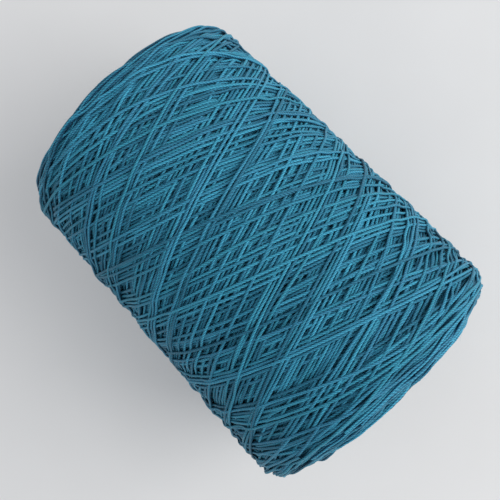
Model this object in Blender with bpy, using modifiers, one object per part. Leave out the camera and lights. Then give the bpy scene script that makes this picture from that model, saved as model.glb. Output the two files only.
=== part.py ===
"""A cone of yarn lying on its side: a paper cone, the yarn wound on it and its transfer tail.

Units are metres, +Z is up and +X points to the cone's nose. Each piece is turned upright about
its own Z axis, with the base edge of the paper cone at Z = 0, and one empty lays them down
together, so that the underside of the winding, which tapers like the cone, rests level on the
ground.
"""

import math

import bmesh
import bpy

# ---- driving dimensions ----------------------------------------------------------------------

HALF_ANGLE = math.radians(2.0)   # taper of the paper cone, and of what is wound on it

WIND_LENGTH = 0.1555             # wound length: one stroke of the thread guide, and its spread
WIND_BASE_RADIUS = 0.0605        # full package at its large end
WIND_SHOULDER_RADIUS = 0.009     # rounded edge between the side and an end
WIND_END_BULGE = 0.003           # how far the middle of an end swells
REST_FLAT_DEPTH = 0.0005         # how far the soft yarn is pressed flat underneath

CONE_BASE_RADIUS = 0.031         # outside of the paper cone at its base edge
CONE_WALL = 0.002
CONE_NOSE_SHOW = 0.0097          # bare paper beyond the winding at the nose
NOSE_LIP = 0.003                 # how far the rolled nose turns into the bore
NOSE_EDGE_RADIUS = 0.0012        # inner edge of the rolled nose

YARN_DIAMETER = 0.0012
TAIL_TURNS = 2                   # turns of the transfer tail round the base
TAIL_TURN_GAP = 0.0001           # between those turns
TAIL_EDGE_MARGIN = 0.0005        # from the base edge to the first turn
TAIL_CLEARANCE = 0.0005          # from the last turn to the winding
TAIL_BEND_RADIUS = 0.0014        # where the tail turns through the notch
TAIL_TUCK = 0.006                # end of the tail that lies inside the bore
NOTCH_CLEARANCE = 0.0008         # round the tail, where it goes through the base edge
NOTCH_ANGLE = math.radians(105.0)  # round the axis, from the side the cone lies on

SEAT_GAP = 0.0003                # kept between pieces that touch

TURN_STEPS = 64                  # facets round a turned piece
ARC_STEPS = 5                    # facets along a rounded edge
FACE_STEPS = 5                   # facets across an end of the winding
TAIL_STEPS = 40                  # straight runs in one turn of the tail
MERGE_DISTANCE = 0.00001

# ---- sizes that follow -----------------------------------------------------------------------

SLOPE = math.tan(HALF_ANGLE)
TAIL_PITCH = YARN_DIAMETER + TAIL_TURN_GAP
TAIL_START = TAIL_EDGE_MARGIN + YARN_DIAMETER / 2    # height of the first turn's centre line
TAIL_TOP = TAIL_START + TAIL_TURNS * TAIL_PITCH + YARN_DIAMETER / 2
WIND_BOTTOM = TAIL_TOP + TAIL_CLEARANCE              # bare paper is left for the tail
WIND_TOP = WIND_BOTTOM + WIND_LENGTH
CONE_LENGTH = WIND_TOP + CONE_NOSE_SHOW
FACE_FOOT_WIDTH = YARN_DIAMETER + 2 * SEAT_GAP
NOTCH_WIDTH = YARN_DIAMETER + 2 * NOTCH_CLEARANCE
NOTCH_DEPTH = TAIL_START + YARN_DIAMETER / 2 + NOTCH_CLEARANCE
SLANT_WALL = CONE_WALL / math.cos(HALF_ANGLE)        # the wall, measured square to the axis
SLANT_GAP = SEAT_GAP / math.cos(HALF_ANGLE)


def cone_radius(z):
    """Outside radius of the paper cone at height z."""
    return CONE_BASE_RADIUS - z * SLOPE


def winding_radius(z):
    """Outside radius of the winding at height z, leaving out its rounded shoulders."""
    return WIND_BASE_RADIUS - (z - WIND_BOTTOM) * SLOPE


def edge_centre(side_radius, z, edge_radius):
    """Centre (radius, height) of a rounded edge at height z that is tangent to a tapered side."""
    return side_radius(z) - edge_radius / math.cos(HALF_ANGLE), z


def arc(centre, radius, start, end):
    """Points on an arc in the (radius, height) plane, from one angle to another."""
    angles = [start + (end - start) * i / ARC_STEPS for i in range(ARC_STEPS + 1)]
    return [(centre[0] + radius * math.cos(a), centre[1] + radius * math.sin(a)) for a in angles]


# ---- the scene -------------------------------------------------------------------------------

for old in list(bpy.data.objects):
    bpy.data.objects.remove(old, do_unlink=True)

PARTS = bpy.data.collections.new("yarn_cone")
CUTTERS = bpy.data.collections.new("cutters")
for collection in (PARTS, CUTTERS):
    bpy.context.scene.collection.children.link(collection)


def material(name, color, roughness):
    made = bpy.data.materials.new(name)
    made.use_nodes = True
    shader = made.node_tree.nodes["Principled BSDF"]
    shader.inputs["Base Color"].default_value = (*color, 1.0)
    shader.inputs["Roughness"].default_value = roughness
    shader.inputs["Metallic"].default_value = 0.0
    return made


def turned(name, outline, finish):
    """A solid of revolution about Z from a closed outline, which starts at the top of its outer
    side and runs down it."""
    mesh = bpy.data.meshes.new(name)
    bm = bmesh.new()
    points = [bm.verts.new((radius, 0.0, z)) for radius, z in outline]
    for i, point in enumerate(points):
        bm.edges.new((point, points[(i + 1) % len(points)]))
    bm.to_mesh(mesh)
    bm.free()
    piece = bpy.data.objects.new(name, mesh)
    PARTS.objects.link(piece)
    piece.data.materials.append(finish)
    screw = piece.modifiers.new("turn", "SCREW")
    screw.axis = "Z"
    screw.steps = TURN_STEPS
    screw.render_steps = TURN_STEPS
    screw.use_merge_vertices = True
    screw.merge_threshold = MERGE_DISTANCE
    screw.use_smooth_shade = True
    return piece


def box_cutter(name, size):
    """A box about its own origin, which only cuts."""
    mesh = bpy.data.meshes.new(name)
    bm = bmesh.new()
    bmesh.ops.create_cube(bm, size=1.0)
    bmesh.ops.scale(bm, vec=size, verts=bm.verts)
    bm.to_mesh(mesh)
    bm.free()
    cutter = bpy.data.objects.new(name, mesh)
    CUTTERS.objects.link(cutter)
    cutter.hide_render = True
    cutter.display_type = "WIRE"
    return cutter


def cut(piece, cutter):
    boolean = piece.modifiers.new(cutter.name, "BOOLEAN")
    boolean.operation = "DIFFERENCE"
    boolean.solver = "EXACT"
    boolean.object = cutter


# ---- sub-parts -------------------------------------------------------------------------------

def make_paper_cone(finish):
    """Thin paper wall, plain at the base edge and rolled inwards to a smooth lip at the nose."""
    outer = edge_centre(cone_radius, CONE_LENGTH - CONE_WALL, CONE_WALL)
    lip_radius = cone_radius(CONE_LENGTH) - SLANT_WALL - NOSE_LIP
    lip = (lip_radius + NOSE_EDGE_RADIUS, CONE_LENGTH - NOSE_EDGE_RADIUS)
    lip_under = CONE_LENGTH - 2 * NOSE_EDGE_RADIUS
    outline = arc(outer, CONE_WALL, math.pi / 2, HALF_ANGLE)
    outline.append((cone_radius(0), 0))
    outline.append((cone_radius(0) - SLANT_WALL, 0))
    outline.append((cone_radius(lip_under) - SLANT_WALL, lip_under))
    outline += arc(lip, NOSE_EDGE_RADIUS, 1.5 * math.pi, 0.5 * math.pi)
    cone = turned("paper_cone", outline, finish)

    notch = box_cutter("tail_notch", (4 * CONE_WALL, NOTCH_WIDTH, 2 * NOTCH_DEPTH))
    middle = CONE_BASE_RADIUS - CONE_WALL / 2
    notch.location = (middle * math.cos(NOTCH_ANGLE), middle * math.sin(NOTCH_ANGLE), 0)
    notch.rotation_euler = (0, 0, NOTCH_ANGLE)
    cut(cone, notch)
    return cone, notch


def end_face(level, outward):
    """Points across an end of the winding, from its shoulder in to the cone. It swells most half
    way to its foot, and the foot is level, so that it clears the tail at the base."""
    rim = edge_centre(winding_radius, level - outward * WIND_SHOULDER_RADIUS,
                      WIND_SHOULDER_RADIUS)[0]
    hole = cone_radius(level) + SLANT_GAP
    foot = hole + FACE_FOOT_WIDTH
    shares = [i / FACE_STEPS for i in range(1, FACE_STEPS + 1)]
    swell = [(rim + (foot - rim) * t,
              level + outward * WIND_END_BULGE * math.sin(math.pi * t) ** 2) for t in shares]
    return swell + [(hole, level)]


def make_yarn_winding(finish):
    """The wound yarn as one soft body, with the flat that its weight presses into it."""
    upper = edge_centre(winding_radius, WIND_TOP - WIND_SHOULDER_RADIUS, WIND_SHOULDER_RADIUS)
    lower = edge_centre(winding_radius, WIND_BOTTOM + WIND_SHOULDER_RADIUS, WIND_SHOULDER_RADIUS)
    outline = arc(upper, WIND_SHOULDER_RADIUS, math.pi / 2, HALF_ANGLE)
    outline += arc(lower, WIND_SHOULDER_RADIUS, HALF_ANGLE, -math.pi / 2)
    outline += end_face(WIND_BOTTOM, -1)
    outline += reversed(end_face(WIND_TOP, 1))
    winding = turned("yarn_winding", outline, finish)

    ground = box_cutter("ground", (2 * WIND_LENGTH, 2 * WIND_BASE_RADIUS, WIND_BASE_RADIUS))
    ground.location = (0, 0, -WIND_BASE_RADIUS / 2)
    cut(winding, ground)
    return winding


def tail_radius(z):
    """Radius of a turn of the tail at height z, whose straight runs clear the paper."""
    return (cone_radius(z) + SLANT_GAP + YARN_DIAMETER / 2) / math.cos(math.pi / TAIL_STEPS)


def tail_route():
    """Centre line of the transfer tail: it lies inside the bore, bends out through the notch
    and then winds round the base of the cone."""
    inside = cone_radius(TAIL_START) - SLANT_WALL - SLANT_GAP - YARN_DIAMETER / 2
    outside = tail_radius(TAIL_START)
    bend = TAIL_BEND_RADIUS
    quarter = [math.pi / 2 * i / ARC_STEPS for i in range(ARC_STEPS + 1)]
    run = [(-TAIL_TUCK, inside), (-TAIL_TUCK / 2, inside)]
    run += [(bend * (math.sin(a) - 1), inside + bend * (1 - math.cos(a))) for a in quarter]
    run += [(bend * (1 - math.cos(a)), outside - bend * (1 - math.sin(a))) for a in quarter]
    route = [(s / CONE_BASE_RADIUS, radius, TAIL_START) for s, radius in run]

    start = route[-1][0]
    for i in range(1, TAIL_TURNS * TAIL_STEPS + 1):
        turns = i / TAIL_STEPS
        z = TAIL_START + TAIL_PITCH * turns
        route.append((start + 2 * math.pi * turns, tail_radius(z), z))
    return [(radius * math.cos(angle + NOTCH_ANGLE), radius * math.sin(angle + NOTCH_ANGLE), z)
            for angle, radius, z in route]


def make_transfer_tail(finish):
    """The first yarn on the cone: a few turns round its base, kept clear of the winding."""
    curve = bpy.data.curves.new("transfer_tail", "CURVE")
    curve.dimensions = "3D"
    curve.bevel_depth = YARN_DIAMETER / 2
    curve.bevel_resolution = 2
    curve.use_fill_caps = True
    route = tail_route()
    spline = curve.splines.new("POLY")
    spline.points.add(len(route) - 1)
    for point, place in zip(spline.points, route):
        point.co = (*place, 1.0)
    tail = bpy.data.objects.new("transfer_tail", curve)
    PARTS.objects.link(tail)
    tail.data.materials.append(finish)
    return tail


def lay_down(pieces):
    """Parent the pieces to an empty that tips the upright cone onto its side, nose to +X, and
    puts the middle of its box over the origin with the flat of the winding at Z = 0."""
    lying = bpy.data.objects.new("lying_cone", None)
    PARTS.objects.link(lying)
    radius, z = edge_centre(cone_radius, CONE_LENGTH - CONE_WALL, CONE_WALL)
    front = z * math.cos(HALF_ANGLE) + radius * math.sin(HALF_ANGLE) + CONE_WALL
    back = -CONE_BASE_RADIUS * math.sin(HALF_ANGLE)
    axis_height = winding_radius(0) * math.cos(HALF_ANGLE) - REST_FLAT_DEPTH
    lying.location = (-(front + back) / 2, 0, axis_height)
    lying.rotation_euler = (0, math.pi / 2 + HALF_ANGLE, 0)
    for piece in pieces:
        piece.parent = lying
    return lying


paper = material("paper", (0.50, 0.42, 0.32), 0.85)
yarn = material("yarn", (0.025, 0.135, 0.215), 0.9)

cone, notch = make_paper_cone(paper)
winding = make_yarn_winding(yarn)
tail = make_transfer_tail(yarn)
lay_down((cone, notch, winding, tail))
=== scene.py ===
"""Looks of the cross-wound yarn cone that lies on its side.

One length of yarn after another is laid on the package as a winding machine lays it, so every strand
rides over the ones below it. Lengths in the winding code are millimetres and angles are radians;
meshes, textures, lights and the camera are in metres.
"""

import collections
import math

import bmesh
import bpy
import numpy as np
from mathutils import Matrix, Vector


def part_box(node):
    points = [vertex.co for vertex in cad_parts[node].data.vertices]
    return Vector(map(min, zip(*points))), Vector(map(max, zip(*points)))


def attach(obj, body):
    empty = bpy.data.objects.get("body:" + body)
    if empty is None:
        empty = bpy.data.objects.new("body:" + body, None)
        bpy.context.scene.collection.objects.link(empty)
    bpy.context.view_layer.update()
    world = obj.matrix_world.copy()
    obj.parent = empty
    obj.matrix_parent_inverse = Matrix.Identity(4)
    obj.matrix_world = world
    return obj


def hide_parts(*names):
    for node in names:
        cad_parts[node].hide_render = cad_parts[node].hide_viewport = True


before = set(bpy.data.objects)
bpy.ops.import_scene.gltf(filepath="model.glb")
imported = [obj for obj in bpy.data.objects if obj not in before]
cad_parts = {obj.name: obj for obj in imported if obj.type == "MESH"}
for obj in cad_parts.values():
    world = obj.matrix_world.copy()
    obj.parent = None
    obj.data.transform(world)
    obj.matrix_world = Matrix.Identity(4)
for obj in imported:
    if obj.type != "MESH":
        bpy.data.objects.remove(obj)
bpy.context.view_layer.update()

MM = 0.001
TAU = 2 * math.pi
SEED = 23
rng = np.random.RandomState(SEED)

# The package, as in the CAD model (mm and radians).
HALF_ANGLE = math.radians(2.0)
SLOPE = math.tan(HALF_ANGLE)
WIND_BOTTOM = 4.8
WIND_TOP = 160.3
WIND_BASE_RADIUS = 60.5
SHOULDER = 9.0
END_BULGE = 3.6  # 0.6 more than in the CAD model, which hides the core's edge from the camera
CONE_BASE_RADIUS = 31.0
CONE_WALL = 2.0
CONE_LENGTH = 170.0
NOSE_LIP = 3.0
NOSE_EDGE_RADIUS = 1.2
SEAT_GAP = 0.3
TAIL_RADIUS = 0.6
TAIL_TURNS = 2
TAIL_START = 1.1
TAIL_PITCH = 1.3
TAIL_BEND = 1.4
TAIL_TUCK = 6.0
TAIL_FACET_RISE = 0.05  # half of what the CAD tail's corners stand out past its straight runs
NOTCH_ANGLE = math.radians(105.0)
NOTCH_WIDTH = 2.8
NOTCH_DEPTH = 2.5
SEAM_ANGLE = 3.9

# The yarn and its own map: along the strand, and round it within the band of its tone.
YARN_RADIUS = 0.585
SIDES = 6
SAMPLE_STEP = 1.8
TONES = 16
TILE_LENGTH = 12.8
BAND_INSET = 0.02

# How the yarn is wound (mm; heights are above the package's plain outline).
CONTACT_RADIUS = 0.5  # less than the yarn's own, because strands press into each other
MEAN_RADIUS = 58.0
DRAPE_RADIUS = 4.5  # far less than the package's own, so that strands follow the hollows
WIND_SLOPE = 0.325  # way along the package for each mm round it
TURN_LENGTH = 190.0  # in which a stroke gets up to speed
RIM_LENGTH = 75.0  # in which it is slower still
RIM_SPEED = 0.1
EASING = 0.35
EPOCHS = 12
BAND_COUNTS = (7, 8, 9, 10, 11, 13)
OVERRUN = 7.0  # how far a stroke goes past the side, round the shoulder
OVERRUN_SPREAD = 3.0
LONGEST_OVERRUN = 13.0
SHORTEST_OVERRUN = -2.0
SLOPE_SPREAD = 0.022
COLUMN_SPREAD = 2.0
BAND_ROUNDS = (3, 9)  # how many strokes each band gets: from the first to below the second
BAND_DRIFT = (3.5, 4.8)  # how far a band's strokes lie apart
STROKES_A_SETTLING = 10
LONG_WANDER = (0.4, 110, 320)  # size, shortest and longest wave
SHORT_WANDER = (0.3, 60, 160)
STEADY_RIM = 14.0  # next to the rim, where a stroke wanders less
RIM_ARC_CHANCE = 0.8
RIM_ARC_LENGTH = (80, 170)
RIM_ARC_BEND = 6.0
FACE_LAYERS = 4
FACE_ARCS = 120
FACE_ARC_LENGTH = (55, 95)
FACE_MARGIN = 1.2
FACE_MARGINS = 5.0  # that one and the one at the rim
ARCS_A_SETTLING = 60
END_MARGIN = 0.6
DIVE_DEPTH = 2.6
PACKING = 0.965
PACKED_GROWTH = 0.25
LEVEL_PERCENT = 88
LEVEL_WIDTH = 11
BOTTOM = -9.0  # what lies deeper counts as this

# What is seen of it (mm, and widths in cells).
HUMP_WIDTH = 29
SEEN_REACH = 5
SEEN_MARGIN = 0.15
DEEPEST_SEEN = -5.4
SPARE_COLUMNS = 17
SHORTEST_RUN = 12
FACE_FROM = 16.0  # how far past the side's end the end face starts
PRESS_LEVEL = -0.5
PRESS_REACH = 1.9
DEPTH_KEPT = 0.9
FACES_A_PIECE = 150000

# The moves sideways that a strand tries (mm), and the lengths over which it evens out (columns).
SIDEWAYS = np.array((-1.5, -1.2, -0.9, -0.6, -0.3, 0.0, 0.3, 0.6, 0.9, 1.2, 1.5))
SIDEWAYS_COST = 0.16
SLIDE_WIDTH = 71
STIFF_WIDTH = 11

BACKDROP = (0.70, 0.705, 0.715)
WHITE = (1.0, 1.0, 1.0)


# ---------------------------------------------------------------- the package's own surface
def cone_radius(z):
    """The paper cone's outer radius at height z along its axis."""
    return CONE_BASE_RADIUS - z * SLOPE


def winding_radius(z):
    """The side's radius at height z along the axis."""
    return WIND_BASE_RADIUS - (z - WIND_BOTTOM) * SLOPE


def arc(r, z, size, start, end, count):
    """Points (radius, height) along an arc about r, z."""
    return [(r + size * math.cos(a), z + size * math.sin(a)) for a in np.linspace(start, end, count)]


def end_face(r_from, r_to, z, bulge):
    """Points (radius, height) along an end face that bulges in its middle."""
    places = np.linspace(0, 1, 60)
    return [(r_from + (r_to - r_from) * u, z + bulge * math.sin(math.pi * u) ** 2) for u in places]


def profile():
    """The winding's outline from the base face's inner edge to the nose face's.

    Gives the way along it, its points (radius, height), its outward directions, and where the side
    starts and ends.
    """
    low_z = WIND_BOTTOM + SHOULDER
    top_z = WIND_TOP - SHOULDER
    low_r = winding_radius(low_z) - SHOULDER / math.cos(HALF_ANGLE)
    top_r = winding_radius(top_z) - SHOULDER / math.cos(HALF_ANGLE)
    points = end_face(cone_radius(WIND_BOTTOM) + SEAT_GAP, low_r, WIND_BOTTOM, -END_BULGE)
    points += arc(low_r, low_z, SHOULDER, -math.pi / 2, HALF_ANGLE, 60)[1:]
    side_from = len(points) - 1
    start = np.array(points[-1])
    nose_shoulder = arc(top_r, top_z, SHOULDER, HALF_ANGLE, math.pi / 2, 60)
    points += [tuple(start + (nose_shoulder[0] - start) * u) for u in np.linspace(0, 1, 150)[1:]]
    side_to = len(points) - 1
    points += nose_shoulder[1:]
    points += end_face(top_r, cone_radius(WIND_TOP) + SEAT_GAP, WIND_TOP, END_BULGE)[1:]
    points = np.array(points)
    t = np.concatenate([[0], np.cumsum(np.hypot(*np.diff(points, axis=0).T))])
    tangent = unit(np.gradient(points, t, axis=0))
    normal = np.stack([tangent[:, 1], -tangent[:, 0]], 1)
    return t, points, normal, t[side_from], t[side_to]


def unit(vectors):
    """Each row at length 1."""
    return vectors / np.linalg.norm(vectors, axis=-1, keepdims=True)


def axis_start():
    """Where the cone's axis leaves its base (mm), from the box of the cone in the CAD model."""
    low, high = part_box("paper_cone")
    base_radius = (high[1] - low[1]) / 2
    x = low[0] + base_radius * math.sin(HALF_ANGLE)
    z = high[2] - base_radius * math.cos(HALF_ANGLE)
    return np.array((x, 0.0, z)) / MM


def turn_to_world(v):
    """Directions in the package's own frame (X down, Y, Z along the axis) to the world's."""
    c, s = math.cos(HALF_ANGLE), math.sin(HALF_ANGLE)
    return np.stack([v[..., 2] * c - v[..., 0] * s, v[..., 1], -v[..., 2] * s - v[..., 0] * c], -1)


def to_world(p):
    """Points in the package's own frame to the world's, in mm."""
    return turn_to_world(p) + AXIS_START


def on_package(t, angle, lift):
    """Points and outward directions at profile place t, angle round the axis and height lift."""
    r = np.interp(t, PROFILE_T, PROFILE_POINTS[:, 0])
    z = np.interp(t, PROFILE_T, PROFILE_POINTS[:, 1])
    out_r = np.interp(t, PROFILE_T, PROFILE_NORMALS[:, 0])
    out_z = np.interp(t, PROFILE_T, PROFILE_NORMALS[:, 1])
    size = np.hypot(out_r, out_z)
    out_r, out_z = out_r / size, out_z / size
    c, s = np.cos(angle), np.sin(angle)
    far = r + out_r * lift
    points = np.stack([far * c, far * s, z + out_z * lift], -1)
    normals = np.stack([out_r * c, out_r * s, out_z], -1)
    return points, normals


PROFILE_T, PROFILE_POINTS, PROFILE_NORMALS, SIDE_FROM, SIDE_TO = profile()
T_END = PROFILE_T[-1]
AXIS_START = axis_start()

# The grid of heights: rows along the profile, columns round the axis.
CELL = 0.4
ROWS = int(math.ceil(T_END / CELL)) + 1
ROW_PLACES = np.arange(ROWS) * CELL
ACROSS = np.arange(-2, 3)
COLUMNS = 944
COLUMN_ANGLE = TAU / COLUMNS
ARC_STEP = MEAN_RADIUS * COLUMN_ANGLE


# ---------------------------------------------------------------- laying the strands
def smooth(a, width):
    """Running mean of odd width, with the ends held."""
    half = width // 2
    padded = np.concatenate([np.full(half, a[0]), a, np.full(half, a[-1])])
    total = np.cumsum(np.concatenate([[0], padded]))
    return (total[width:] - total[:-width]) / width


def nearest_rows(t, margin=0):
    """The grid rows nearest to profile places t."""
    return np.clip(np.rint(t / CELL).astype(int), margin, ROWS - 1 - margin)


def cross_section(slope):
    """A strand's own height in the rows across it, and in which of those it touches anything."""
    far = ACROSS[None, :] * CELL / np.sqrt(1 + slope[:, None] ** 2)
    return np.sqrt(np.maximum(CONTACT_RADIUS**2 - far**2, 0)), np.abs(far) < CONTACT_RADIUS


def pulled_tight(need):
    """The height of a taut strand round the package that rests on the points of need."""
    group = 3
    n = len(need)
    m = -(-n // group)
    padded = np.concatenate([need, np.full(m * group - n, need[-1])]).reshape(m, group).max(1)
    s = (np.arange(m) * group + 1) * ARC_STEP
    sag = s * s / (2 * DRAPE_RADIUS)
    g = (padded - sag).tolist()
    x = s.tolist()
    hull = []
    for i in range(m):
        while len(hull) > 1:
            a, b = hull[-2], hull[-1]
            if (g[b] - g[a]) * (x[i] - x[a]) > (g[i] - g[a]) * (x[b] - x[a]):
                break
            hull.pop()
        hull.append(i)
    tight = np.interp(s, s[hull], np.array(g)[hull]) + sag
    lift = np.interp(np.arange(n) * ARC_STEP, s, tight)
    return smooth(smooth(lift, STIFF_WIDTH), STIFF_WIDTH)


class Package:
    """The heights reached so far, and every strand laid."""

    def __init__(self):
        self.top = np.zeros((ROWS, COLUMNS))
        self.scale = np.ones(ROWS)
        self.shift = np.zeros(ROWS)
        self.strands = []

    def slid_sideways(self, t, cols):
        """Moves a strand off its neighbours' backs into the nearest groove beside them."""
        costs = []
        for move in SIDEWAYS:
            rows = nearest_rows(t + move, 1)
            beside = 0.5 * (self.top[rows - 1, cols] + self.top[rows + 1, cols])
            under = np.maximum(self.top[rows, cols], beside)
            costs.append(smooth(under, SLIDE_WIDTH) + SIDEWAYS_COST * abs(move))
        best = SIDEWAYS[np.argmin(costs, axis=0)]
        best = smooth(smooth(best, SLIDE_WIDTH), SLIDE_WIDTH - 2)
        return np.clip(t + best, END_MARGIN, T_END - END_MARGIN)

    def lay(self, t, first_column, tone, taut=True, dive=0.0):
        """Lays a strand along consecutive columns, at profile places t, pushed in by dive."""
        cols = (first_column + np.arange(len(t))) % COLUMNS
        t = self.slid_sideways(t, cols)
        own, touching = cross_section(np.gradient(t) / ARC_STEP)
        across = np.clip(nearest_rows(t)[:, None] + ACROSS[None, :], 0, ROWS - 1)
        cells = (across, np.broadcast_to(cols[:, None], across.shape))
        need = np.where(touching, self.top[cells] + own, BOTTOM).max(1)
        lift = pulled_tight(need) if taut else smooth(np.maximum(need, smooth(need, 9)), 5)
        lift = lift - dive
        np.maximum.at(self.top, cells, np.where(touching, lift[:, None] + own, BOTTOM))
        free = (lift - np.interp(t, ROW_PLACES, self.shift)) / np.interp(t, ROW_PLACES, self.scale)
        self.strands.append((t, first_column, free, tone))

    def settle(self):
        """Levels the package and packs it a little, as the pressure of the next layers does."""
        level = np.percentile(self.top, LEVEL_PERCENT, axis=1)
        level = smooth(smooth(level, LEVEL_WIDTH), LEVEL_WIDTH)
        packing = 1 - (1 - PACKING) * np.clip(level / PACKED_GROWTH, 0, 1)
        self.top = (self.top - level[:, None]) * packing[:, None]
        self.shift = (self.shift - level) * packing
        self.scale *= packing

    def height_of(self, t, free):
        """The height that a laid strand has now."""
        return free * np.interp(t, ROW_PLACES, self.scale) + np.interp(t, ROW_PLACES, self.shift)


def wander(n, size, shortest, longest):
    """A smooth random drift along n columns: four waves of random length."""
    s = np.arange(n) * ARC_STEP
    out = np.zeros(n)
    for _ in range(4):
        length = rng.uniform(shortest, longest)
        height = rng.normal(0, size / 2)
        phase = rng.uniform(0, 6.3)
        out += height * np.sin(TAU * s / length + phase)
    return out


def dive_at_ends(u):
    """How far a strand is pushed in along its way u, from -1 to 1, to vanish at both ends."""
    return DIVE_DEPTH * np.abs(u) ** 5


def stroke(t_from, t_to, slope):
    """Profile places of one stroke, column by column: slow at both ends, steady between."""
    turn = TURN_LENGTH * rng.uniform(0.75, 1.2)
    rim = RIM_LENGTH * rng.uniform(0.7, 1.3)
    length = abs(t_to - t_from) / slope + turn
    s = np.linspace(0, length, int(round(length / ARC_STEP)))
    to_end = np.minimum(s, length - s)
    speed = np.minimum(1, to_end / turn)
    speed = speed * speed * (3 - 2 * speed) * EASING + speed * (1 - EASING)
    speed = speed * (RIM_SPEED + (1 - RIM_SPEED) * np.minimum(1, to_end / rim))
    gone = np.cumsum(speed)
    gone = (gone - gone[0]) / (gone[-1] - gone[0])
    return t_from + (t_to - t_from) * gone


def wind_faces(package):
    """The turning arcs of the inner layers, which make the two end faces."""
    for at_base in (True, False):
        edge = SIDE_FROM if at_base else T_END - SIDE_TO
        places = []
        for _ in range(FACE_LAYERS):
            u = (np.arange(FACE_ARCS) + rng.uniform(0, 1, FACE_ARCS)) / FACE_ARCS
            places.extend(sorted(FACE_MARGIN + u * (edge - FACE_MARGINS)))
        for i, place in enumerate(places):
            radius = np.interp(place if at_base else T_END - place, PROFILE_T, PROFILE_POINTS[:, 0])
            columns = int(rng.uniform(*FACE_ARC_LENGTH) / radius / COLUMN_ANGLE)
            t = np.clip(place + wander(columns, *SHORT_WANDER), 0.8, None)
            t = t if at_base else T_END - t
            dive = dive_at_ends(np.linspace(-1, 1, columns))
            package.lay(t, rng.randint(COLUMNS), rng.randint(TONES), taut=False, dive=dive)
            if (i + 1) % ARCS_A_SETTLING == 0:
                package.settle()


def wind_rim_arc(package, at_base):
    """The turning stretch of a stroke, which runs along the rim and dives under at both ends."""
    columns = int(rng.uniform(*RIM_ARC_LENGTH) / ARC_STEP)
    u = np.linspace(-1, 1, columns)
    turning_point = rng.uniform(-LONGEST_OVERRUN, 1.0)
    place = turning_point + RIM_ARC_BEND * u * u + wander(columns, *SHORT_WANDER)
    t = SIDE_FROM + place if at_base else SIDE_TO - place
    package.lay(t, rng.randint(COLUMNS), rng.randint(TONES), dive=dive_at_ends(u))


def there_and_back():
    """Profile places of a stroke from rim to rim and back, with its small drifts."""
    low = SIDE_FROM - OVERRUN + rng.normal(0, OVERRUN_SPREAD)
    high = SIDE_TO + OVERRUN + rng.normal(0, OVERRUN_SPREAD)
    low = min(max(low, SIDE_FROM - LONGEST_OVERRUN), SIDE_FROM - SHORTEST_OVERRUN)
    high = max(min(high, SIDE_TO + LONGEST_OVERRUN), SIDE_TO + SHORTEST_OVERRUN)
    slope = WIND_SLOPE * (1 + rng.normal(0, SLOPE_SPREAD))
    out = stroke(low, high, slope)
    back = stroke(high, low, slope)
    t = np.concatenate([out, back[1:]])
    inner = np.clip(np.minimum(t - low, high - t) / STEADY_RIM, 0, 1)
    return t + wander(len(t), *LONG_WANDER) * inner


def wind_strokes(package):
    """The crossing strokes of the outer layers, in bands that drift round the package.

    From one stroke to the next the pattern turns by a number of bands that shares no factor with
    their count, so that every band gets its strokes before the first one gets its next.
    """
    column = 0.0
    laid = 0
    for _ in range(EPOCHS):
        bands = BAND_COUNTS[rng.randint(len(BAND_COUNTS))]
        rounds = rng.randint(*BAND_ROUNDS)
        drift = rng.choice((-1, 1)) * rng.uniform(*BAND_DRIFT) / (TAU * MEAN_RADIUS)
        skip = rng.choice([n for n in range(1, bands) if math.gcd(n, bands) == 1])
        turn = (skip + drift) / bands
        for _ in range(bands * rounds):
            package.lay(there_and_back(), int(round(column)) % COLUMNS, rng.randint(TONES))
            for at_base in (True, False):
                if rng.uniform() < RIM_ARC_CHANCE:
                    wind_rim_arc(package, at_base)
            column += turn * COLUMNS + rng.normal(0, COLUMN_SPREAD)
            laid += 1
            if laid % STROKES_A_SETTLING == 0:
                package.settle()


# ---------------------------------------------------------------- from strands to meshes
Run = collections.namedtuple("Run", "t angle lift tone phase")


def lowest_near(top, reach):
    """The lowest height within reach cells of each cell."""
    out = top
    for _ in range(reach):
        down = np.minimum(out, np.vstack([out[1:], out[-1:]]))
        out = np.minimum(down, np.vstack([out[:1], out[:-1]]))
        out = np.minimum(np.minimum(out, np.roll(out, 1, 1)), np.roll(out, -1, 1))
    return out


def broad_humps(top):
    """The package's height smoothed over about 12 mm both ways, less its mean."""
    half = HUMP_WIDTH // 2
    out = np.clip(top, -3.0, 2.0)
    for _ in range(2):
        out = np.apply_along_axis(smooth, 0, out, HUMP_WIDTH)
        wrapped = np.hstack([out[:, -half:], out, out[:, :half]])
        out = np.apply_along_axis(smooth, 1, wrapped, HUMP_WIDTH)[:, half:-half]
    return out - out.mean()


def seen_runs(package):
    """Cuts each strand to the runs that can be seen, with the package's broad humps levelled."""
    open_to = lowest_near(package.top, SEEN_REACH)
    humps = broad_humps(package.top)
    on_face = (ROW_PLACES < SIDE_FROM - FACE_FROM) | (ROW_PLACES > SIDE_TO + FACE_FROM)
    humps[on_face] = np.minimum(humps[on_face], 0)
    runs = []
    for number, (t, first, free, tone) in enumerate(package.strands):
        cols = (first + np.arange(len(t))) % COLUMNS
        rows = nearest_rows(t)
        now = package.height_of(t, free)
        seen = (open_to[rows, cols] < now + YARN_RADIUS + SEEN_MARGIN) & (now > DEEPEST_SEEN)
        grown = np.convolve(seen, np.ones(SPARE_COLUMNS), "same") > 0
        edges = np.flatnonzero(np.diff(np.concatenate([[0], grown.astype(int), [0]])))
        for a, b in zip(edges[::2], edges[1::2]):
            if b - a > SHORTEST_RUN:
                lift = now[a:b] - humps[rows[a:b], cols[a:b]]
                phase = (number * 37.3 + a) % TILE_LENGTH
                runs.append(Run(t[a:b], (first + a) * COLUMN_ANGLE, lift, tone, phase))
    return runs


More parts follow.
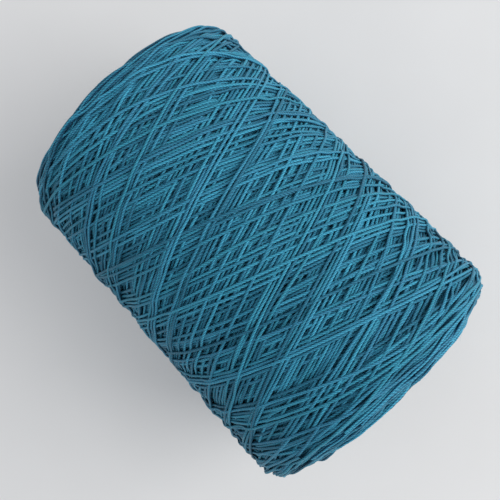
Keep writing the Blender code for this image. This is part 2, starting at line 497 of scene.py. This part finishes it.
def resampled(run):
    """Evenly spaced samples along a run: profile places, angles, heights and the way so far."""
    angles = run.angle + np.arange(len(run.t)) * COLUMN_ANGLE
    radius = np.interp(run.t, PROFILE_T, PROFILE_POINTS[:, 0])
    step = np.hypot(np.diff(run.t), radius[1:] * COLUMN_ANGLE)
    s = np.concatenate([[0], np.cumsum(step)])
    count = max(int(round(s[-1] / SAMPLE_STEP)), 3) + 1
    at = np.linspace(0, s[-1], count)
    return np.interp(at, s, run.t), np.interp(at, s, angles), np.interp(at, s, run.lift), at


def pressed(lift):
    """Heights after the outermost strands are pressed down, and the deepest ones a little less deep."""
    above = np.maximum(lift - PRESS_LEVEL, 0)
    below = np.maximum(PRESS_LEVEL - lift, 0)
    return (1 - np.exp(-above / PRESS_REACH)) - DEPTH_KEPT * below + PRESS_LEVEL


def kept_above_table(p):
    """Flattens the underside of the winding where it lies on the table."""
    low = YARN_RADIUS * 0.9
    lowest = YARN_RADIUS * 0.82
    z = np.where(p[:, 2] < low, low + (p[:, 2] - low) * 0.02, p[:, 2])
    return np.stack([p[:, 0], p[:, 1], np.maximum(z, lowest)], -1)


def tube_faces(rings, sides):
    """Faces between each ring of rings and the one after it."""
    side = np.arange(sides)
    a = rings[:, None] * sides + side[None, :]
    b = rings[:, None] * sides + (side + 1)[None, :] % sides
    return np.stack([a, b, b + sides, a + sides], -1).reshape(-1, 4)


def yarn_map(way_from, way_to, tone, sides):
    """The corners of each face in the yarn's own map, for tube_faces in the same order."""
    side = np.arange(sides)[None, :]
    u0 = (way_from / TILE_LENGTH)[:, None]
    u1 = (way_to / TILE_LENGTH)[:, None]
    v0 = (tone + BAND_INSET + (1 - 2 * BAND_INSET) * side / sides) / TONES
    v1 = (tone + BAND_INSET + (1 - 2 * BAND_INSET) * (side + 1) / sides) / TONES
    u0, u1, v0, v1 = np.broadcast_arrays(u0, u1, v0, v1)
    return np.stack([u0, v0, u0, v1, u1, v1, u1, v0], -1).reshape(-1, 2)


def strand_mesh(name, runs, material):
    """One mesh of many round strands, each a little wider than it is high."""
    points, outward, way, tones = [], [], [], []
    for run in runs:
        t, angle, lift, at = resampled(run)
        p, out = on_package(t, angle, pressed(lift))
        points.append(p)
        outward.append(out)
        way.append(at + run.phase)
        tones.append(np.full(len(at), run.tone))
    last = np.cumsum([len(p) for p in points]) - 1
    first = np.concatenate([[0], last[:-1] + 1])
    p = kept_above_table(to_world(np.concatenate(points)))
    ahead = np.arange(len(p)) + 1
    behind = np.arange(len(p)) - 1
    ahead[last] = last
    behind[first] = first
    tangent = unit(p[ahead] - p[behind])
    side = unit(np.cross(tangent, turn_to_world(np.concatenate(outward))))
    up = np.cross(side, tangent)
    turn = TAU * np.arange(SIDES) / SIDES
    flat = 0.97
    ring = (
        p[:, None, :]
        + up[:, None, :] * (np.cos(turn) * YARN_RADIUS * flat)[None, :, None]
        + side[:, None, :] * (np.sin(turn) * YARN_RADIUS / flat)[None, :, None]
    )
    rings = np.setdiff1d(np.arange(len(p)), last)
    way = np.concatenate(way)
    tones = np.concatenate(tones)
    uv = yarn_map(way[rings], way[rings + 1], tones[rings][:, None], SIDES)
    return mesh_object(name, ring.reshape(-1, 3), tube_faces(rings, SIDES), uv, material)


def mesh_object(name, points, quads, uv, material):
    """A smooth object from points in mm, faces of four corners and, if it has one, their map."""
    verts = points * MM
    mesh = bpy.data.meshes.new(name)
    mesh.vertices.add(len(verts))
    mesh.vertices.foreach_set("co", verts.astype(np.float32).ravel())
    mesh.loops.add(len(quads) * 4)
    mesh.loops.foreach_set("vertex_index", quads.astype(np.int32).ravel())
    mesh.polygons.add(len(quads))
    mesh.polygons.foreach_set("loop_start", np.arange(0, len(quads) * 4, 4, dtype=np.int32))
    mesh.polygons.foreach_set("loop_total", np.full(len(quads), 4, dtype=np.int32))
    mesh.polygons.foreach_set("use_smooth", np.ones(len(quads), bool))
    if uv is not None:
        layer = mesh.uv_layers.new(name="OFBake")
        layer.data.foreach_set("uv", uv.astype(np.float32).ravel())
    mesh.update(calc_edges=True)
    mesh.validate()
    mesh.materials.append(material)
    obj = bpy.data.objects.new(name, mesh)
    bpy.context.scene.collection.objects.link(obj)
    return obj


def grid_faces(n, m, closed):
    """Faces of a grid of n rings of m points, in which the last ring joins the first if closed."""
    i, j = np.meshgrid(np.arange(n if closed else n - 1), np.arange(m), indexing="ij")
    i2, j2 = (i + 1) % n, (j + 1) % m
    return np.stack([i * m + j, i2 * m + j, i2 * m + j2, i * m + j2], -1).reshape(-1, 4)


def round_tube(centre, radius, sides):
    """Points and faces of an open tube along centre, with a radius at each point."""
    n = len(centre)
    tangent = unit(np.gradient(centre, axis=0))
    up = np.zeros_like(centre)
    guess = np.array((0.0, 0.0, 1.0)) if abs(tangent[0, 2]) < 0.9 else np.array((1.0, 0.0, 0.0))
    for i in range(n):
        guess = guess - tangent[i] * np.dot(guess, tangent[i])
        guess /= np.linalg.norm(guess)
        up[i] = guess
    side = np.cross(tangent, up)
    turn = TAU * np.arange(sides) / sides
    outward = up[:, None, :] * np.cos(turn)[None, :, None] + side[:, None, :] * np.sin(turn)[None, :, None]
    ring = centre[:, None, :] + radius[:, None, None] * outward
    return ring.reshape(-1, 3), tube_faces(np.arange(n - 1), sides)


def tail_turn_radius(z):
    """How far from the axis the tail's middle line runs at height z, resting on the cone."""
    return cone_radius(z) + SEAT_GAP / math.cos(HALF_ANGLE) + TAIL_RADIUS + TAIL_FACET_RISE


def tail_centre():
    """The transfer tail's middle line, as in the CAD model, and on into the winding."""
    inside = CONE_BASE_RADIUS - TAIL_START * SLOPE - CONE_WALL / math.cos(HALF_ANGLE)
    inside -= SEAT_GAP / math.cos(HALF_ANGLE) + TAIL_RADIUS
    outside = tail_turn_radius(TAIL_START)
    quarter = np.linspace(0, math.pi / 2, 9)
    run = [(s, inside) for s in (-TAIL_TUCK, -TAIL_TUCK * 0.75, -TAIL_TUCK / 2, -2.2)]
    run += [(TAIL_BEND * (math.sin(a) - 1), inside + TAIL_BEND * (1 - math.cos(a))) for a in quarter]
    run += [(TAIL_BEND * (1 - math.cos(a)), outside - TAIL_BEND * (1 - math.sin(a))) for a in quarter]
    route = [(s / CONE_BASE_RADIUS, r, TAIL_START) for s, r in run]
    start = route[-1][0]
    for turns in np.linspace(0, TAIL_TURNS, TAIL_TURNS * 120 + 1)[1:]:
        z = TAIL_START + TAIL_PITCH * turns
        route.append((start + TAU * turns, tail_turn_radius(z), z))
    top = TAIL_START + TAIL_PITCH * TAIL_TURNS
    last_turn, last_climb, last_lift = 0.3, 4.2, 1.4
    for u in np.linspace(0, 1, 40)[1:]:
        z = top + last_climb * u * u * (3 - 2 * u)
        r = tail_turn_radius(z) + last_lift * u * u
        route.append((start + TAU * (TAIL_TURNS + last_turn * u), r, z))
    route = np.array(route)
    angle = route[:, 0] + NOTCH_ANGLE
    return np.stack([route[:, 1] * np.cos(angle), route[:, 1] * np.sin(angle), route[:, 2]], -1)


def even_spacing(points, step):
    """The same line with points a step apart, and the way to each."""
    gone = np.concatenate([[0], np.cumsum(np.linalg.norm(np.diff(points, axis=0), axis=1))])
    at = np.linspace(0, gone[-1], int(gone[-1] / step) + 1)
    return np.stack([np.interp(at, gone, points[:, i]) for i in range(3)], -1), at


def transfer_tail(material):
    """Three real plies twisted round each other, since this strand is seen on its own."""
    plies = 3
    ply_lay = 4.2
    ply_radius = 0.31
    ply_offset = 0.30
    ply_sides = 7
    first_tone = 7
    centre, at = even_spacing(tail_centre(), 0.45)
    centre = to_world(centre)
    tangent = unit(np.gradient(centre, axis=0))
    along_axis = np.tile((0.0, 0.0, 1.0), (len(at), 1))
    side = unit(np.cross(tangent, turn_to_world(along_axis)))
    up = np.cross(side, tangent)
    verts, quads, uvs = [], [], []
    for ply in range(plies):
        turn = TAU * (at / ply_lay + ply / plies)
        away = ply_offset * (1 + 0.05 * np.sin(at * 1.3 + ply))
        line = centre + (up * np.cos(turn)[:, None] + side * np.sin(turn)[:, None]) * away[:, None]
        ends = np.minimum(1, np.minimum(at + 0.15, at[-1] - at + 0.15) / 0.6)
        v, q = round_tube(line, ply_radius * ends, ply_sides)
        quads.append(q + ply * len(v))
        verts.append(v)
        uvs.append(yarn_map(at[:-1], at[1:], first_tone + ply, ply_sides))
    uv = np.concatenate(uvs)
    return mesh_object("transfer_tail_strand", np.concatenate(verts), np.concatenate(quads), uv, material)


def cone_outline():
    """The paper wall's section (radius, height): out along the base edge, up, over the nose, down."""
    slant_wall = CONE_WALL / math.cos(HALF_ANGLE)
    nose_z = CONE_LENGTH - CONE_WALL
    nose_r = cone_radius(nose_z) - slant_wall
    lip_z = CONE_LENGTH - NOSE_EDGE_RADIUS
    lip_r = cone_radius(CONE_LENGTH) - slant_wall - NOSE_LIP + NOSE_EDGE_RADIUS
    lip_low_z = CONE_LENGTH - 2 * NOSE_EDGE_RADIUS
    points = []
    for u in np.linspace(0, 1, 13):
        rough = 0.04 * math.sin(u * 40) * math.sin(math.pi * u)
        points.append((CONE_BASE_RADIUS - slant_wall * (1 - u), 0.05 + rough))
    for z in np.concatenate([np.linspace(0.4, NOTCH_DEPTH, 5), np.linspace(4, nose_z, 60)]):
        points.append((cone_radius(z), z))
    points += arc(nose_r, nose_z, CONE_WALL, HALF_ANGLE, math.pi / 2, 12)[1:]
    points += arc(lip_r, lip_z, NOSE_EDGE_RADIUS, math.pi / 2, 1.5 * math.pi, 14)
    for z in np.concatenate([np.linspace(lip_low_z, 4, 60), np.linspace(NOTCH_DEPTH, 0.4, 5)]):
        points.append((cone_radius(z) - slant_wall, z))
    return np.array(points)


def cone_columns():
    """The angles round the cone, with those of the notch, and whether the edge is cut there."""
    steps = 176
    half = math.asin(NOTCH_WIDTH / 2 / CONE_BASE_RADIUS)
    even = np.arange(steps) * TAU / steps
    away = np.abs((even - NOTCH_ANGLE + math.pi) % TAU - math.pi)
    plain = [(a, False) for a in even[away > half + 0.01]]
    cut = [(NOTCH_ANGLE - half, False), (NOTCH_ANGLE - half, True), (NOTCH_ANGLE, True)]
    cut += [(NOTCH_ANGLE + half, True), (NOTCH_ANGLE + half, False)]
    before = [c for c in plain if c[0] < NOTCH_ANGLE]
    after = [c for c in plain if c[0] > NOTCH_ANGLE]
    return before + cut + after


def paper_cone(material):
    """The core: rolled paper with a seam down its length, a plain cut base with its yarn notch."""
    seam_step = 0.12
    unevenness = 0.05
    outline = cone_outline()
    columns = cone_columns()
    rings = []
    for angle, notched in columns:
        r, z = outline[:, 0], outline[:, 1]
        in_wall = r > cone_radius(z) - CONE_WALL * 1.05
        from_seam = ((angle - SEAM_ANGLE) % TAU) / TAU
        r = r + np.where(in_wall, seam_step * (1 - from_seam) - 0.10, 0)
        r = r + unevenness * math.sin(3 * angle + 0.4) * np.sin(z * 0.05 + angle)
        z = np.maximum(z, NOTCH_DEPTH) if notched else z
        rings.append(np.stack([r * math.cos(angle), r * math.sin(angle), z], -1))
    points = to_world(np.array(rings)).reshape(-1, 3)
    faces = grid_faces(len(columns), len(outline), True)
    obj = mesh_object("paper_core", points, faces, None, material)
    bm = bmesh.new()
    bm.from_mesh(obj.data)
    bmesh.ops.remove_doubles(bm, verts=bm.verts, dist=1e-6)
    bmesh.ops.dissolve_degenerate(bm, edges=bm.edges, dist=1e-6)
    bmesh.ops.recalc_face_normals(bm, faces=bm.faces)
    bm.to_mesh(obj.data)
    bm.free()
    for face in obj.data.polygons:
        face.use_smooth = True
    obj.data.set_sharp_from_angle(angle=math.radians(40))
    return obj


def fibre_line(p, out):
    """The middle line of one fibre, which leaves the yarn near p and curls away from it."""
    along = rng.normal(0, 1, 3)
    along -= out * np.dot(along, out)
    along /= np.linalg.norm(along)
    rise = rng.uniform(0.25, 1.0)
    length = rng.uniform(0.9, 2.6)
    curl = rng.normal(0, 0.5, 3)
    u = np.linspace(0, 1, 5)[:, None]
    reach = length * u
    lift = YARN_RADIUS * 0.6 + reach * rise * (1 - 0.45 * u)
    return p + out * lift + along * reach + curl * u * u * length


def loose_fibres(runs, material):
    """Short fibre ends that stand out of the yarn, but not deep down or close to the table."""
    picks = 7500
    deepest = -1.4
    closest_to_table = 6.0
    radius = 0.028 * (1 - 0.6 * np.linspace(0, 1, 5))
    verts, quads = [], []
    count = 0
    for pick in rng.choice(len(runs), picks):
        run = runs[pick]
        i = rng.randint(len(run.t))
        if run.lift[i] < deepest:
            continue
        angle = run.angle + i * COLUMN_ANGLE
        p, out = on_package(run.t[i : i + 1], np.array([angle]), run.lift[i : i + 1])
        p, out = to_world(p)[0], turn_to_world(out)[0]
        if p[2] < closest_to_table:
            continue
        v, q = round_tube(fibre_line(p, out), radius, 3)
        quads.append(q + count)
        verts.append(v)
        count += len(v)
    return mesh_object("loose_fibres", np.concatenate(verts), np.concatenate(quads), None, material)


def inner_body(material):
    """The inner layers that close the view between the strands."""
    rows, cols = 180, 240
    depth = 4.6
    waviness = 0.25
    above_table = 1.2
    t, angle = np.meshgrid(np.linspace(0, T_END, rows), np.arange(cols) * TAU / cols, indexing="ij")
    lift = -depth + waviness * np.sin(t * 2.6 + 3 * np.sin(angle * 2)) * np.sin(angle * 9 + t * 0.2)
    p = to_world(on_package(t, angle, lift)[0])
    p[..., 2] = np.maximum(p[..., 2], above_table)
    faces = grid_faces(rows, cols, False)
    return mesh_object("winding_inner_layers", p.reshape(-1, 3), faces, None, material)


# ---------------------------------------------------------------- materials
def linear(r, g, b):
    """sRGB numbers to the linear ones that a shader takes."""
    return tuple(c / 12.92 if c <= 0.04045 else ((c + 0.055) / 1.055) ** 2.4 for c in (r, g, b))


def nodes_of(name):
    """A new material with its node tree and its Principled BSDF."""
    material = bpy.data.materials.new(name)
    material.use_nodes = True
    tree = material.node_tree
    return material, tree, tree.nodes["Principled BSDF"]


def math_node(tree, kind, *values):
    """A Math node whose inputs are numbers or other nodes' outputs."""
    node = tree.nodes.new("ShaderNodeMath")
    node.operation = kind
    for socket, value in zip(node.inputs, values):
        if isinstance(value, (int, float)):
            socket.default_value = value
        else:
            tree.links.new(value, socket)
    return node.outputs[0]


def colour_ramp(tree, value, *stops):
    """A ramp through the stops, each a place and a linear colour."""
    ramp = tree.nodes.new("ShaderNodeValToRGB")
    while len(ramp.color_ramp.elements) < len(stops):
        ramp.color_ramp.elements.new(0.5)
    for element, (place, colour) in zip(ramp.color_ramp.elements, stops):
        element.position = place
        element.color = (*colour, 1)
    tree.links.new(value, ramp.inputs[0])
    return ramp.outputs[0]


def mix_colour(tree, kind, factor, a, b):
    """A Mix node for colours; each input is a number, a colour or another node's output."""
    node = tree.nodes.new("ShaderNodeMix")
    node.data_type = "RGBA"
    node.blend_type = kind
    for socket, value in ((node.inputs[0], factor), (node.inputs[6], a), (node.inputs[7], b)):
        if isinstance(value, (int, float)):
            socket.default_value = value
        elif isinstance(value, tuple):
            socket.default_value = (*value, 1)
        else:
            tree.links.new(value, socket)
    return node.outputs[2]


def noise(tree, vector, scale, detail=2.0, roughness=0.5):
    """A Noise Texture node at the places of vector."""
    node = tree.nodes.new("ShaderNodeTexNoise")
    node.inputs["Scale"].default_value = scale
    node.inputs["Detail"].default_value = detail
    node.inputs["Roughness"].default_value = roughness
    tree.links.new(vector, node.inputs["Vector"])
    return node


def add_bump(tree, shader, height, strength, distance):
    """Gives the shader a bump from height, which is distance metres deep."""
    bump = tree.nodes.new("ShaderNodeBump")
    bump.inputs["Strength"].default_value = strength
    bump.inputs["Distance"].default_value = distance
    tree.links.new(height, bump.inputs["Height"])
    tree.links.new(bump.outputs[0], shader.inputs["Normal"])


def object_places(tree):
    """The object's own coordinates, which are the world's at rest, in metres."""
    return tree.nodes.new("ShaderNodeTexCoord").outputs["Object"]


def seen_directly(tree):
    """1 for what the camera sees, by itself or through a reflection or glass, and 0 for the rest."""
    path = tree.nodes.new("ShaderNodeLightPath")
    mirrored = math_node(tree, "MAXIMUM", path.outputs["Is Glossy Ray"], path.outputs["Is Transmission Ray"])
    return math_node(tree, "MAXIMUM", path.outputs["Is Camera Ray"], mirrored)


def ply_ridges(tree, along, around):
    """1 on the back of each of three twisted plies and 0 in the groove between two."""
    plies = 3
    lays_a_tile = 3
    along_turns = math_node(tree, "MULTIPLY", along, lays_a_tile * plies)
    around_turns = math_node(tree, "MULTIPLY", around, plies)
    turns = math_node(tree, "SUBTRACT", along_turns, around_turns)
    wave = math_node(tree, "COSINE", math_node(tree, "MULTIPLY", turns, TAU))
    return math_node(tree, "POWER", math_node(tree, "MULTIPLY_ADD", wave, 0.5, 0.5), 0.6)


def fibre_noise(tree, along, around_angle, around):
    """Noise drawn out along the twist, on circles in four dimensions so that it has no seams."""
    along_angle = math_node(tree, "MULTIPLY", along, TAU)
    twist = math_node(tree, "MULTIPLY", math_node(tree, "SUBTRACT", along, around), 2 * TAU)
    twist_angle = math_node(tree, "ADD", twist, around_angle)
    place = tree.nodes.new("ShaderNodeCombineXYZ")
    circles = (("COSINE", along_angle, 2.6), ("SINE", along_angle, 2.6), ("COSINE", twist_angle, 2.2))
    for socket, (kind, angle, size) in zip(place.inputs, circles):
        tree.links.new(math_node(tree, "MULTIPLY", math_node(tree, kind, angle), size), socket)
    fibre = noise(tree, place.outputs[0], 3.0, 4.0, 0.65)
    fibre.noise_dimensions = "4D"
    fourth = math_node(tree, "MULTIPLY", math_node(tree, "SINE", twist_angle), 2.2)
    tree.links.new(fourth, fibre.inputs["W"])
    return fibre.outputs[0]


def yarn_material():
    """Plied yarn: twisted plies and loose fibres, in one of several close tones, with painted shade in the
    ply grooves and under each strand and painted highlights on the palest fibres.
    """
    material, tree, shader = nodes_of("teal plied yarn")
    uv = tree.nodes.new("ShaderNodeUVMap")
    uv.uv_map = "OFBake"
    parts = tree.nodes.new("ShaderNodeSeparateXYZ")
    tree.links.new(uv.outputs[0], parts.inputs[0])
    along = parts.outputs[0]
    band = math_node(tree, "MULTIPLY", parts.outputs[1], TONES)
    tone = math_node(tree, "FLOOR", band)
    around = math_node(tree, "SUBTRACT", band, tone)
    around_angle = math_node(tree, "MULTIPLY", around, TAU)
    ply = ply_ridges(tree, along, around)
    fibre = fibre_noise(tree, along, around_angle, around)
    base = colour_ramp(
        tree,
        math_node(tree, "DIVIDE", tone, TONES - 1),
        (0.0, linear(0.160, 0.463, 0.575)),
        (0.3, linear(0.202, 0.548, 0.671)),
        (0.55, linear(0.213, 0.586, 0.692)),
        (0.8, linear(0.266, 0.665, 0.793)),
        (1.0, linear(0.218, 0.538, 0.666)),
    )
    # The grooves between the plies are painted darker: painted shade.
    painted_groove_shade = mix_colour(tree, "MULTIPLY", 1.0, base, linear(0.60, 0.69, 0.74))
    plied = mix_colour(tree, "MIX", ply, painted_groove_shade, base)
    # Fibre noise makes some fibres darker and some paler at random; the palest are lifted past the yarn's
    # own colour toward white: painted highlights on those fibres.
    pale = colour_ramp(tree, fibre, (0.35, (0.72, 0.74, 0.76)), (0.5, WHITE), (0.68, (1.55, 1.30, 1.20)))
    fibrous = mix_colour(tree, "MULTIPLY", 1.0, plied, pale)
    # Each strand is painted darker on its sides and underside, where its neighbours shade it: painted shade.
    outward = math_node(tree, "MULTIPLY_ADD", math_node(tree, "COSINE", around_angle), 0.5, 0.5)
    painted_shade_below = colour_ramp(tree, outward, (0.32, linear(0.06, 0.46, 0.57)), (0.86, WHITE))
    colour = mix_colour(tree, "MULTIPLY", 1.0, fibrous, painted_shade_below)
    tree.links.new(colour, shader.inputs["Base Color"])
    ply_height = math_node(tree, "MULTIPLY", ply, 0.7)
    fibre_height = math_node(tree, "MULTIPLY", fibre, 0.5)
    add_bump(tree, shader, math_node(tree, "ADD", ply_height, fibre_height), 1.0, 0.00024)
    shader.inputs["Roughness"].default_value = 0.5
    shader.inputs["Specular IOR Level"].default_value = 0.22
    shader.inputs["Sheen Weight"].default_value = 0.16
    shader.inputs["Sheen Roughness"].default_value = 0.45
    shader.inputs["Sheen Tint"].default_value = (*linear(0.55, 0.85, 0.92), 1)
    return material


def shaded_inner_material():
    """The packed yarn deep inside, painted far darker than the strands: painted shade below them."""
    material, tree, shader = nodes_of("inner yarn in painted shade")
    wave = tree.nodes.new("ShaderNodeTexWave")
    wave.bands_direction = "X"
    wave.inputs["Scale"].default_value = 260
    wave.inputs["Distortion"].default_value = 4
    tree.links.new(object_places(tree), wave.inputs["Vector"])
    # Both tones are far darker than the yarn's own: painted shade.
    dark, light = linear(0.01, 0.20, 0.28), linear(0.02, 0.34, 0.43)
    colour = colour_ramp(tree, wave.outputs["Fac"], (0.0, dark), (1.0, light))
    tree.links.new(colour, shader.inputs["Base Color"])
    shader.inputs["Roughness"].default_value = 0.9
    return material


def fibre_material():
    """Single fibres, paler than the yarn because light comes through them."""
    material, tree, shader = nodes_of("teal fibre")
    cloud = noise(tree, object_places(tree), 220)
    dark, light = linear(0.16, 0.50, 0.60), linear(0.30, 0.66, 0.76)
    colour = colour_ramp(tree, cloud.outputs["Fac"], (0.3, dark), (0.7, light))
    tree.links.new(colour, shader.inputs["Base Color"])
    shader.inputs["Roughness"].default_value = 0.6
    return material


def card_material():
    """Grey-brown paper board: flecks, faint lines along the roll, a worn pale edge and a seam."""
    material, tree, shader = nodes_of("rolled paper board")
    turn = tree.nodes.new("ShaderNodeMapping")
    turn.vector_type = "TEXTURE"
    turn.inputs["Location"].default_value = tuple(AXIS_START * MM)
    turn.inputs["Rotation"].default_value = (0, math.pi / 2 + HALF_ANGLE, 0)
    tree.links.new(object_places(tree), turn.inputs["Vector"])
    on_cone = turn.outputs[0]
    stretch = tree.nodes.new("ShaderNodeMapping")
    stretch.inputs["Scale"].default_value = (1, 1, 0.25)
    tree.links.new(on_cone, stretch.inputs["Vector"])
    fleck = noise(tree, on_cone, 900, 5, 0.7).outputs["Fac"]
    grain = noise(tree, stretch.outputs[0], 420, 4).outputs["Fac"]
    cloud = noise(tree, on_cone, 38, 3).outputs["Fac"]
    base = colour_ramp(tree, cloud, (0.3, linear(0.60, 0.56, 0.50)), (0.7, linear(0.64, 0.60, 0.54)))
    lines = colour_ramp(tree, grain, (0.35, (0.97, 0.97, 0.965)), (0.65, (1.02, 1.02, 1.02)))
    flecks = colour_ramp(tree, fleck, (0.34, (0.62, 0.58, 0.54)), (0.44, WHITE), (0.70, (1.12, 1.12, 1.12)))
    board = mix_colour(tree, "MULTIPLY", 1.0, mix_colour(tree, "MULTIPLY", 1.0, base, lines), flecks)
    parts = tree.nodes.new("ShaderNodeSeparateXYZ")
    tree.links.new(on_cone, parts.inputs[0])
    worn_length = 0.0011
    from_base = math_node(tree, "MULTIPLY", parts.outputs[2], 1 / worn_length)
    edge = math_node(tree, "SUBTRACT", 1.0, math_node(tree, "MINIMUM", from_base, 1.0))
    edge = math_node(tree, "MAXIMUM", math_node(tree, "MULTIPLY", edge, 0.55), 0.0)
    worn = mix_colour(tree, "MIX", edge, board, linear(0.76, 0.70, 0.61))
    angle = math_node(tree, "ARCTAN2", parts.outputs[1], parts.outputs[0])
    from_seam = math_node(tree, "ABSOLUTE", math_node(tree, "ADD", angle, TAU - SEAM_ANGLE))
    seam = math_node(tree, "MULTIPLY", math_node(tree, "LESS_THAN", from_seam, 0.012), 0.55)
    colour = mix_colour(tree, "MIX", seam, worn, linear(0.36, 0.30, 0.24))
    tree.links.new(colour, shader.inputs["Base Color"])
    add_bump(tree, shader, math_node(tree, "ADD", fleck, grain), 0.5, 0.0001)
    shader.inputs["Roughness"].default_value = 0.78
    shader.inputs["Specular IOR Level"].default_value = 0.3
    return material


def floor_material():
    """Matt pale table. Far from the object it fades to the backdrop's own pale colour; next to it a share of
    0.22 glows in that colour too, which lightens the object's shadow: painted light.
    """
    material, tree, shader = nodes_of("pale table")
    places = object_places(tree)
    cloud = noise(tree, places, 14, 3)
    dark, light = linear(0.870, 0.869, 0.870), linear(0.885, 0.884, 0.885)
    colour = colour_ramp(tree, cloud.outputs["Fac"], (0.3, dark), (0.7, light))
    tree.links.new(colour, shader.inputs["Base Color"])
    shader.inputs["Roughness"].default_value = 0.95
    shader.inputs["Specular IOR Level"].default_value = 0.0
    far = tree.nodes.new("ShaderNodeVectorMath")
    far.operation = "LENGTH"
    tree.links.new(places, far.inputs[0])
    fade = tree.nodes.new("ShaderNodeMapRange")
    fade.interpolation_type = "SMOOTHSTEP"
    fade.inputs["From Min"].default_value = 0.35
    fade.inputs["From Max"].default_value = 1.1
    # The share that glows even next to the object, which lifts its shadow: painted light.
    fade.inputs["To Min"].default_value = 0.22
    tree.links.new(far.outputs["Value"], fade.inputs["Value"])
    glow = tree.nodes.new("ShaderNodeEmission")
    glow.inputs[0].default_value = (*BACKDROP, 1)
    share = math_node(tree, "MULTIPLY", fade.outputs["Result"], seen_directly(tree))
    mix_shaders(tree, share, shader, glow, tree.nodes["Material Output"])
    return material


def mix_shaders(tree, share, first, second, output):
    """Links the two shaders to output, with share of the second."""
    mix = tree.nodes.new("ShaderNodeMixShader")
    tree.links.new(share, mix.inputs[0])
    tree.links.new(first.outputs[0], mix.inputs[1])
    tree.links.new(second.outputs[0], mix.inputs[2])
    tree.links.new(mix.outputs[0], output.inputs[0])


# ---------------------------------------------------------------- table, light and camera
def make_floor():
    """The table top, which isn't part of the object."""
    half = 3.0
    corners = [(-half, -half, 0), (half, -half, 0), (half, half, 0), (-half, half, 0)]
    mesh = bpy.data.meshes.new("table_top")
    mesh.from_pydata(corners, [], [(0, 1, 2, 3)])
    mesh.materials.append(floor_material())
    floor = bpy.data.objects.new("table_top", mesh)
    bpy.context.scene.collection.objects.link(floor)


def make_world():
    """Even pale light from all round, behind which the camera sees the backdrop's colour."""
    world = bpy.data.worlds.new("studio")
    world.use_nodes = True
    tree = world.node_tree
    light = tree.nodes["Background"]
    light.inputs[0].default_value = (0.93, 0.96, 1.0, 1)
    light.inputs[1].default_value = 0.56
    shown = tree.nodes.new("ShaderNodeBackground")
    shown.inputs[0].default_value = (*BACKDROP, 1)
    mix_shaders(tree, seen_directly(tree), light, shown, tree.nodes["World Output"])
    bpy.context.scene.world = world


def area_light(name, place, aim, size, power, colour):
    """A square soft light of that size at place, which faces aim."""
    data = bpy.data.lights.new(name, "AREA")
    data.shape = "SQUARE"
    data.size = size
    data.energy = power
    data.color = colour
    light = bpy.data.objects.new(name, data)
    bpy.context.scene.collection.objects.link(light)
    light.location = place
    light.rotation_mode = "QUATERNION"
    light.rotation_quaternion = (Vector(aim) - Vector(place)).to_track_quat("-Z", "Y")


def make_lights():
    """A window to one side and a weak ceiling light."""
    area_light(
        "window",
        place=(-0.86, -1.06, 0.98),
        aim=(-0.04, -0.06, 0.0),
        size=1.3,
        power=26.0,
        colour=(1.0, 0.99, 0.97),
    )
    area_light(
        "ceiling",
        place=(-0.4, -0.3, 1.5),
        aim=(-0.1, -0.1, 0.05),
        size=1.4,
        power=1.0,
        colour=(0.97, 0.98, 1.0),
    )


def make_camera():
    """A camera almost straight above, turned and placed so that the outline is the photo's."""
    right = Vector((-0.6889, -0.7139, -0.1255))
    up = Vector((0.7216, -0.6919, -0.0255))
    back = Vector((-0.0686, -0.1081, 0.9918))
    place = Vector((-0.0243, -0.0319, 0.3687))
    data = bpy.data.cameras.new("camera")
    data.sensor_width = 36
    data.lens = 53.28
    camera = bpy.data.objects.new("camera", data)
    bpy.context.scene.collection.objects.link(camera)
    turn = Matrix((right, up, back)).transposed().to_4x4()
    camera.matrix_world = Matrix.Translation(place) @ turn
    bpy.context.scene.camera = camera


# ---------------------------------------------------------------- putting it together
def build_winding(yarn):
    """Winds the package and makes its visible strands, its packed inside and its loose fibres."""
    package = Package()
    wind_faces(package)
    wind_strokes(package)
    package.settle()
    runs = seen_runs(package)
    faces = np.array([len(run.t) for run in runs]) * ARC_STEP / SAMPLE_STEP * SIDES * 2
    total = faces.sum()
    pieces = int(math.ceil(total / FACES_A_PIECE))
    share = np.minimum((np.cumsum(faces) / total * pieces).astype(int), pieces - 1)
    for k in range(pieces):
        chosen = [run for run, s in zip(runs, share) if s == k]
        piece = strand_mesh(f"yarn_strands_{k + 1:02d}", chosen, yarn)
        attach(piece, "root")
        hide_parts("yarn_winding")
    # The inner layers carry the dark inner material: painted shade seen between the strands.
    body = inner_body(shaded_inner_material())
    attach(body, "root")
    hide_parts("yarn_winding")
    fibres = loose_fibres(runs, fibre_material())
    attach(fibres, "root")
    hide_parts("yarn_winding")


def build_core(yarn):
    """The paper cone and the transfer tail on its base."""
    core = paper_cone(card_material())
    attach(core, "root")
    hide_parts("paper_cone")
    tail = transfer_tail(yarn)
    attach(tail, "root")
    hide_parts("transfer_tail")


bpy.context.scene.view_settings.view_transform = "Standard"
make_floor()
make_world()
make_lights()
make_camera()
plied_yarn = yarn_material()
build_winding(plied_yarn)
build_core(plied_yarn)

bpy.context.view_layer.update()
